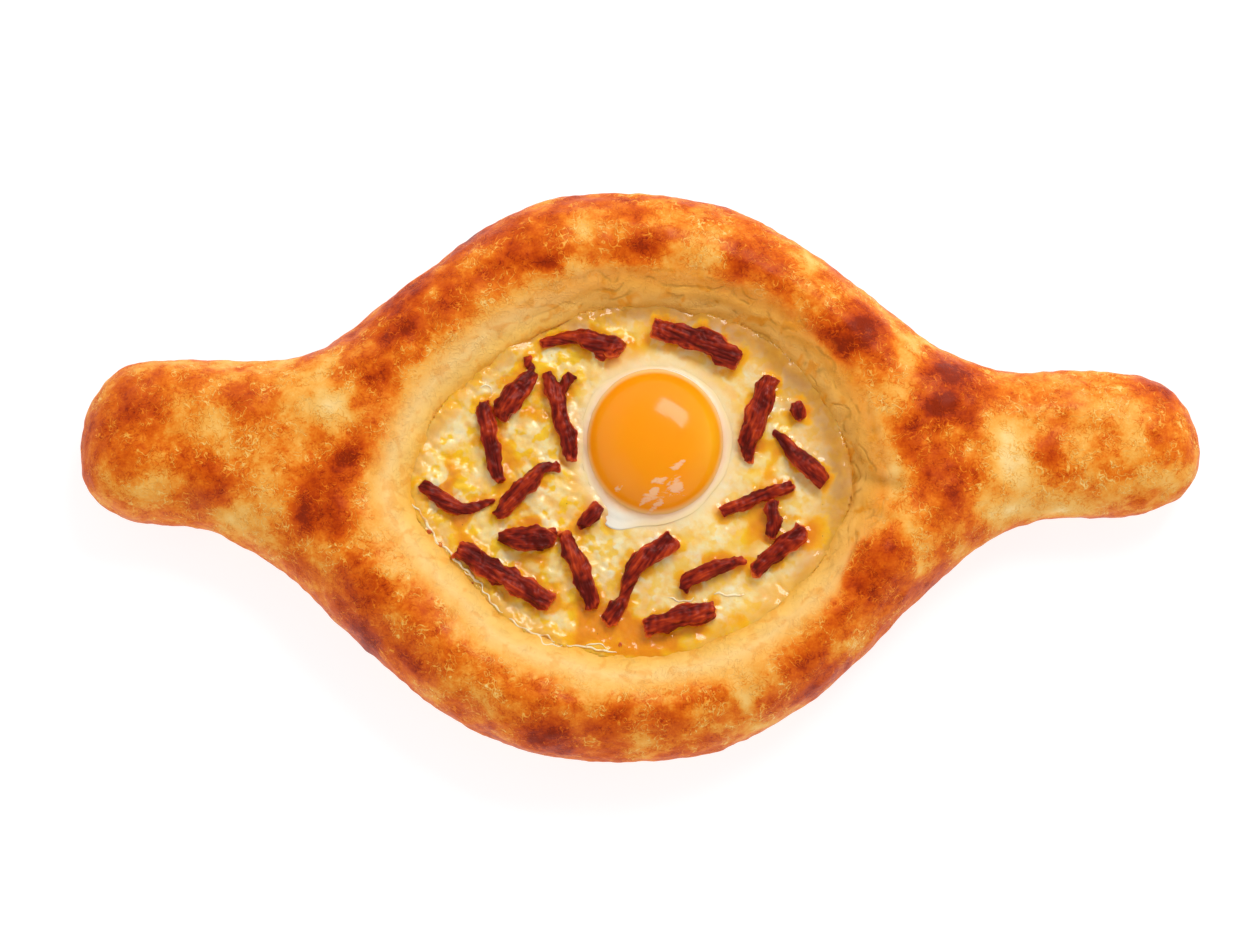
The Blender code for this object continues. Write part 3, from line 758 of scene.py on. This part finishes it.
def yolk_material():
    """Runny yolk seen through its skin, with pale flakes of white drying on it."""
    made, shader, field = new_material(
        "yolk_finish",
        roughness=0.4,
        specular_ior_level=0.05,
        coat_weight=0.4,
        coat_roughness=0.13,
        subsurface_weight=0.35,
        subsurface_scale=0.003,
        subsurface_radius=(1.0, 0.5, 0.05),
    )
    film = field.attribute("film")
    rim = field.attribute("rim")
    lit = field.attribute("lit")
    body = (lit * 0.8 + (field.noise(11.0) - 0.5) * 0.4).ramp(
        [(0.0, srgb(255, 152, 0)), (0.45, srgb(255, 162, 2)), (1.0, srgb(255, 186, 30))]
    )
    body = (rim.ease(0.80, 0.97) * 0.5).mix(body, srgb(255, 150, 14))
    body = rim.ease(0.93, 1.0).mix(body, srgb(255, 196, 120))
    slanted = field.place(turn=-FILM_SLANT, stretch=(0.5, 1.0, 1.0))
    flakes = field.noise(1.7, detail=3.0, roughness=0.65, warp=0.5, place=slanted)
    flaked = (flakes + film * 0.46).ease(0.76, 0.88) * film.ease(0.12, 0.45)
    colour = (flaked * 0.85).mix(body, srgb(255, 196, 150))
    connect(shader, base_color=colour, normal=field.bump(flaked, 0.15, 0.6))
    return made


def shape_white():
    """The set white: a thin wet collar that runs out over the cheese round the yolk."""
    turns, rings = 200, 14
    angle = np.arange(turns) * 2 * math.pi / turns
    away = np.stack([np.cos(angle), np.sin(angle)], axis=1)
    lobes = 0.6 * np.sin(3 * angle + 0.4) + 0.4 * np.sin(5 * angle + 2.0) + 0.3 * np.sin(11 * angle)
    patch = bell(angle - math.radians(241), 0.28)
    # glossy: the arc at the upper right where the wet bead stands and its painted highlight lies.
    glossy = bell(angle - math.radians(68), 0.55)
    spread = 2.7 + 0.5 * lobes + 4.4 * patch
    points, share_all = [], []
    for ring in range(rings):
        share = ring / (rings - 1)
        flat = YOLK_CENTRE + away * (YOLK_RADII - 0.5) + away * (spread * share)[:, None]
        swell = 1.1 * (1 - share) ** 2.2 + 0.15 * patch * math.sin(math.pi * share)
        swell += 0.08 * ripple(flat, 3, 81)
        swell += glossy * bell(share * spread - 1.2, 0.5) * (0.65 + 0.3 * ripple(flat, 2.4, 82))
        height = cheese_height(flat) + 0.1 - 0.5 * share**2 + swell
        height = np.maximum(height, FILLING_LEVEL + 0.4 * (1 - share))
        points.append(np.column_stack([flat, height]))
        share_all.append(np.full(turns, share))
    under = points[-1] - UP * 0.9
    inner_under = points[0] - UP * 1.6
    points += [under, inner_under]
    share_all += [np.ones(turns), np.zeros(turns)]
    faces = []
    for ring in range(len(points)):
        following = (ring + 1) % len(points)
        for k in range(turns):
            after = (k + 1) % turns
            here, there = ring * turns, following * turns
            faces.append((here + k, there + k, there + after, here + after))
    piece = mesh_piece("white", np.vstack(points), faces)
    shape = bmesh.new()
    shape.from_mesh(piece.data)
    bmesh.ops.recalc_face_normals(shape, faces=shape.faces)
    shape.to_mesh(piece.data)
    shape.free()
    out = np.concatenate(share_all)
    paint(piece.data, "out", out)
    paint(piece.data, "patch", np.tile(patch, len(points)) * ease(out, 0.12, 0.45))
    from_yolk = out * np.tile(spread, len(points))
    # A painted highlight: this mask paints the wet bead at the upper right near white.
    paint(piece.data, "bead", np.tile(glossy, len(points)) * bell(from_yolk - 1.2, 0.6))
    return finish_piece(piece, white_material(), "egg_white", "egg_white")


def white_material():
    """Just-set egg white: rosy at the yolk, milky further out and creamy at its thin edge."""
    made, shader, field = new_material(
        "egg_white_finish",
        roughness=0.25,
        specular_ior_level=0.2,
        coat_weight=0.5,
        coat_roughness=0.08,
        subsurface_weight=0.15,
        subsurface_scale=0.0015,
        subsurface_radius=(1.0, 0.8, 0.6),
    )
    out = field.attribute("out")
    patch = field.attribute("patch")
    bead = field.attribute("bead")
    cloud = field.noise(3.5, detail=3.0)
    colour = (out + (cloud - 0.5) * 0.5).ramp(
        [
            (0.0, srgb(255, 192, 120)),
            (0.25, srgb(255, 214, 172)),
            (0.6, srgb(255, 226, 184)),
            (1.0, srgb(255, 226, 166)),
        ]
    )
    # Painted highlight: the wet bead at the upper right painted near white.
    colour = (bead * 0.7).mix(colour, srgb(255, 250, 224))
    colour = patch.mix(colour, srgb(255, 246, 226))
    connect(shader, base_color=colour, normal=field.bump(cloud, 0.3, 0.4))
    return made


# ---------------------------------------------------------------- skin of milk on the cheese


THREAD_SIDES = 8
# Fine crisp threads of dried cheese: the width of each and the points it wanders through.
THREADS = (
    (0.62, ((-60.9, -9.6), (-57.2, -14.4), (-54.8, -18.7), (-51.0, -22.5), (-47.4, -26.8), (-43.1, -30.6))),
    (0.50, ((-46.6, -27.4), (-43.1, -30.8), (-39.3, -35.6), (-36.4, -38.6))),
    (0.55, ((-35.0, -40.4), (-31.0, -42.9), (-26.3, -44.9), (-22.6, -46.2))),
    (0.45, ((-27.4, -44.4), (-24.4, -47.2), (-20.8, -47.6))),
    (0.50, ((-19.6, -47.0), (-15.4, -47.8), (-11.4, -48.6), (-6.4, -49.0))),
    (0.40, ((-14.4, -47.9), (-12.2, -46.9), (-9.4, -48.3))),
    (0.62, ((19.4, -33.6), (22.4, -33.9), (25.4, -34.3), (27.4, -33.6))),
    (0.50, ((7.0, -34.4), (9.4, -35.3), (12.4, -35.1), (14.0, -34.6))),
    (0.45, ((-43.2, 22.4), (-41.4, 22.2), (-40.4, 20.4))),
)
# Toasted flecks beside the threads: x, y and size.
FLECKS = (
    (-56.3, -17.2, 0.8), (-53.6, -20.6, 0.9), (-50.2, -24.2, 0.5), (-44.6, -30.8, 0.4), (-5.4, -47.2, 0.7),
)


def ground_height(spots):
    """The height of the crust or the cheese, whichever is on top, at points seen from above."""
    down = Vector((0, 0, -1))
    graph = bpy.context.evaluated_depsgraph_get()
    tall = []
    for x, y in spots:
        start = Vector((x * MM, y * MM, 0.06))
        hits = [bpy.data.objects[name].ray_cast(start, down, depsgraph=graph) for name in ("crust", "cheese")]
        tall.append(max([spot.z for found, spot, _, _ in hits if found], default=FILLING_LEVEL * MM) / MM)
    return np.array(tall)


def thread(width, corners, seed):
    """A thin wandering thread that lies on the surface, as points and faces."""
    length = sum(math.dist(a, b) for a, b in zip(corners, corners[1:]))
    count = max(8, round(length / 0.4))
    line = smooth_line(corners, count, closed=False)
    along = np.gradient(line, axis=0)
    side = np.stack([-along[:, 1], along[:, 0]], axis=1) / np.linalg.norm(along, axis=1)[:, None]
    line = line + side * (0.45 * ripple(line, 1.9, seed))[:, None]
    from_end = np.minimum(np.arange(count), np.arange(count)[::-1])
    taper = np.sqrt(np.clip(from_end / 4 + 0.15, 0, 1))
    radius = 0.5 * width * taper * (1 + 0.3 * ripple(line, 1.5, seed + 1))
    angle = np.arange(THREAD_SIDES) * 2 * math.pi / THREAD_SIDES
    flat = line[:, None] + side[:, None] * (np.cos(angle) * radius[:, None])[..., None]
    tall = ground_height(line)[:, None] + radius[:, None] * (0.35 + 0.9 * np.sin(angle))
    points = np.concatenate([flat, tall[..., None]], axis=2).reshape(-1, 3)
    ring = np.arange(THREAD_SIDES)
    faces = []
    for low in range(0, (count - 1) * THREAD_SIDES, THREAD_SIDES):
        for k in ring:
            after = (k + 1) % THREAD_SIDES
            faces.append((low + k, low + after, low + THREAD_SIDES + after, low + THREAD_SIDES + k))
    faces += [tuple(ring[::-1]), tuple((count - 1) * THREAD_SIDES + ring)]
    return points, faces


def fleck(x, y, size, seed):
    """A low toasted blob, as points and faces."""
    flat, faces = disc(4, 14)
    out = np.linalg.norm(flat, axis=1)
    spread = flat * size * (1 + 0.25 * ripple(flat, 1.2, seed))[:, None]
    low = ground_height([(x, y)])[0] - 0.25
    dome = low + 0.35 * size * np.sqrt(np.clip(1 - out**2, 0, 1)) + 0.25
    points = np.column_stack([spread + (x, y), np.where(out > 0.99, low, dome)])
    edge = len(points) - 14 + np.arange(14)
    return points, [*faces, tuple(edge[::-1])]


def join_shapes(name, shapes):
    """One piece from several sets of points and faces."""
    points, faces = [], []
    for part_points, part_faces in shapes:
        start = sum(len(part) for part in points)
        points.append(part_points)
        faces += [tuple(start + corner for corner in face) for face in part_faces]
    piece = mesh_piece(name, np.vstack(points), faces)
    shape = bmesh.new()
    shape.from_mesh(piece.data)
    bmesh.ops.recalc_face_normals(shape, faces=shape.faces)
    shape.to_mesh(piece.data)
    shape.free()
    return piece


def shape_cheese_skin():
    """The dried threads round the filling's edge and the toasted flecks beside them."""
    threads = [thread(width, corners, 200 + 3 * k) for k, (width, corners) in enumerate(THREADS)]
    flecks = [fleck(x, y, size, 300 + k) for k, (x, y, size) in enumerate(FLECKS)]
    finish_piece(join_shapes("cheese_threads", threads), thread_material(), "cheese")
    finish_piece(join_shapes("toasted_flecks", flecks), fleck_material(), "cheese")


def thread_material():
    """Dried cheese drawn into threads: pale, crisp and glossy, toasted here and there."""
    made, shader, field = new_material(
        "thread_finish", specular_ior_level=0.3, coat_weight=0.6, coat_roughness=0.12, roughness=0.3
    )
    toasted = field.noise(3.0, detail=2.0).ease(0.5, 0.7)
    colour = toasted.mix(srgb(255, 240, 196), srgb(240, 178, 84))
    connect(shader, base_color=colour, normal=field.bump(field.noise(0.5), 0.1, 0.5))
    return made


def fleck_material():
    """A fleck of cheese toasted to a red-brown, paler at its edge."""
    made, shader, field = new_material("fleck_finish", specular_ior_level=0.2, coat_weight=0.3, roughness=0.4)
    depth = field.noise(1.2, detail=3.0)
    colour = depth.ramp([(0.3, srgb(236, 146, 44)), (0.5, srgb(208, 92, 18)), (0.7, srgb(160, 50, 10))])
    connect(shader, base_color=colour, normal=field.bump(depth, 0.2, 0.6))
    return made


# ---------------------------------------------------------------- the beef


def shape_strip(name, seed):
    """One strip of cured beef, wrinkled and fibrous along its length, with ragged ends."""
    piece = skin(name, name + "_meat", BEEF_SKIN)
    mesh = piece.data
    points = soften(mesh, read_points(mesh), 5)
    write_points(mesh, points)
    normals = read_normals(mesh)
    middle = points.mean(0)
    _, _, axes = np.linalg.svd(points - middle, full_matrices=False)
    grain = (points - middle) @ axes.T
    reach = np.abs(grain[:, 0]).max()
    drawn = grain / np.array([7.0, 1.0, 1.0])
    fibres = 1 - np.abs(ripple(drawn, 0.95, seed))
    wrinkles = ripple(grain / np.array([2.4, 1, 1]), 2.4, seed + 1)
    rough = ripple(points, 1.0, seed + 2)
    end = ease(np.abs(grain[:, 0]) / reach, 0.78, 1.0)
    push = 0.24 * (fibres - 0.35) + 0.22 * wrinkles + (0.11 + 0.24 * end) * rough + 0.04
    points = points + normals * push[:, None]
    write_points(mesh, points)
    # ridge: how far each point stands out, which the beef colour turns into painted highlight and shade.
    paint(mesh, "ridge", ease(push, -0.3, 0.5))
    paint(mesh, "tip", end)
    paint(mesh, "side", ease(-normals[:, 2], -0.75, -0.1))
    along = mesh.attributes.new("grain", "FLOAT_VECTOR", "POINT")
    along.data.foreach_set("vector", drawn.astype(np.float32).ravel())
    return piece


def shape_beef():
    """Every strip of beef on the cheese."""
    material = beef_material()
    for number, name in enumerate(sorted(n for n in frame["nodes"] if n.startswith("beef"))):
        finish_piece(shape_strip(name, 100 + 7 * number), material, "beef", name)


def beef_material():
    """Dried beef: brown-red fibres, redder at the ends and edges, with a soft sheen of fat; raised fibres
    painted lighter and grooves darker as painted highlight and shade.
    """
    made, shader, field = new_material(
        "beef_finish",
        coat_weight=0.05,
        coat_roughness=0.2,
        specular_ior_level=0.3,
        specular_tint=(1.0, 0.4, 0.35, 1.0),
    )
    ridge = field.attribute("ridge")
    tip = field.attribute("tip")
    side = field.attribute("side")
    grain = field.attribute("grain", output="Vector")
    streak = field.node("ShaderNodeTexNoise", None, {"Vector": grain, "Scale": 1.7, "Detail": 3.0})
    fleck = field.node("ShaderNodeTexNoise", None, {"Vector": grain, "Scale": 0.45, "Detail": 2.0})
    # ridge: raised fibres painted lighter and grooves darker, painted highlight and shade.
    level = ridge * 0.5 + (streak - 0.5) * 0.8 + (fleck - 0.5) * 0.6 + tip * 0.2 + side * 0.36
    colour = level.ramp(
        [
            (0.0, srgb(84, 8, 2)),
            (0.22, srgb(120, 22, 8)),
            (0.45, srgb(156, 42, 15)),
            (0.68, srgb(196, 68, 25)),
            (1.0, srgb(232, 110, 46)),
        ]
    )
    connect(shader, base_color=colour, roughness=0.44 - ridge * 0.1, normal=field.bump(streak, 0.4, 0.9))
    return made


# ---------------------------------------------------------------- the stage


CEILING_GREY = (158, 158, 158)
FLOOR_GLOW = 0.78
FLOOR_REACH = 3000


def set_stage():
    """A pale floor, a soft lamp high behind on the right, and even light from all round."""
    corners = [(x * FLOOR_REACH, y * FLOOR_REACH, 0) for x, y in ((-1, -1), (1, -1), (1, 1), (-1, 1))]
    floor = mesh_piece("floor", corners, [(0, 1, 2, 3)])
    floor.location.z = -0.0004
    made, shader, field = new_material(
        "floor_finish",
        roughness=0.9,
        specular_ior_level=0.1,
        emission_color=(1, 1, 1, 1),
        emission_strength=FLOOR_GLOW,
    )
    tone = field.noise(40.0).ramp([(0.0, srgb(158, 158, 158)), (1.0, srgb(162, 162, 162))])
    connect(shader, base_color=tone)
    floor.data.materials.append(made)
    world = bpy.data.worlds.new("studio")
    bpy.context.scene.world = world
    world.use_nodes = True
    sky = Field(world.node_tree)
    direction = sky.node("ShaderNodeTexCoord", output="Generated")
    height = sky.node("ShaderNodeSeparateXYZ", None, {0: direction}, "Z")
    glow = height.ease(0.45, 0.9).mix(srgb(255, 255, 255), srgb(*CEILING_GREY))
    background = world.node_tree.nodes["Background"]
    background.inputs["Strength"].default_value = 0.97
    world.node_tree.links.new(glow.socket, background.inputs["Color"])
    lamp("softbox", (0.30, 0.56, 0.77), 0.9, (0.46, 0.28), 4.3)
    lamp("fill", (-0.7, -0.5, 0.8), 1.2, (0.8, 0.8), 0.6)
    bpy.context.scene.view_settings.view_transform = "Standard"


def lamp(name, direction, distance, size, power):
    """An area lamp that looks at the yolk from a direction."""
    light = bpy.data.lights.new(name, "AREA")
    light.shape = "RECTANGLE"
    light.size, light.size_y = size
    light.energy = power
    made = bpy.data.objects.new(name, light)
    bpy.context.scene.collection.objects.link(made)
    aim = Vector(direction).normalized()
    made.location = aim * distance
    made.rotation_euler = aim.to_track_quat("Z", "Y").to_euler()


CAMERA_ELEVATION = 80.0
CAMERA_DISTANCE = 0.80
CAMERA_AIM = (-0.0029, 0.0, 0.014)


def set_camera():
    """The camera, nearly overhead and leaning a little towards the near side."""
    camera = bpy.data.cameras.new("camera")
    camera.lens = 85
    camera.sensor_width = 36
    made = bpy.data.objects.new("camera", camera)
    bpy.context.scene.collection.objects.link(made)
    lean = math.radians(CAMERA_ELEVATION)
    aim = Vector((0, -math.cos(lean), math.sin(lean)))
    made.location = Vector(CAMERA_AIM) + aim * CAMERA_DISTANCE
    made.rotation_euler = aim.to_track_quat("Z", "Y").to_euler()
    bpy.context.scene.camera = made


shape_bread()
shape_cheese()
shape_yolk()
shape_white()
shape_beef()
shape_cheese_skin()
set_stage()
set_camera()
